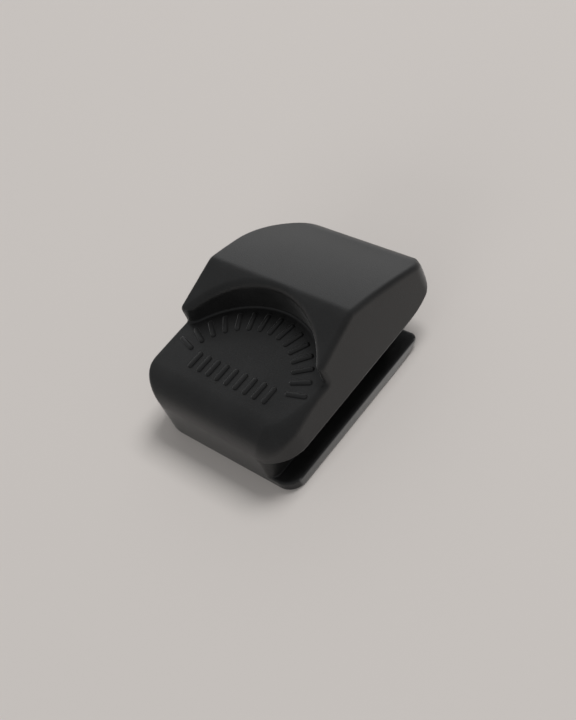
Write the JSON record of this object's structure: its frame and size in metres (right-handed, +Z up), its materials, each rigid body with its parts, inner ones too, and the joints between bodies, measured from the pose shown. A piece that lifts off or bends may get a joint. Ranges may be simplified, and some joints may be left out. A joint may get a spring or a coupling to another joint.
{
  "type": "string instrument mute",
  "caption": "Moulded black rubber mute for a bowed instrument: finger pad under a hooded nose, and a side slot that clips over one string.",
  "frame": {"origin": "centre of the part's box seen from above, on the flat underside of the string plate", "axes": "+X towards the slot's open side, across the strings; +Y along the strings, towards the nose that meets the bridge; +Z up, away from the strings"},
  "size_m": [0.0186, 0.0233, 0.01],
  "materials": {
    "moulded_rubber": "fine matte black moulded rubber",
    "raised_rubber": "matte black moulded rubber, slightly smoother on raised edges"
  },
  "bodies": {
    "root": {"finger_pad": "moulded_rubber", "hood": "moulded_rubber", "foot": "moulded_rubber", "string_plate": "moulded_rubber", "arch_ribs": "raised_rubber", "pad_ribs": "raised_rubber"}
  },
  "joints": []
}
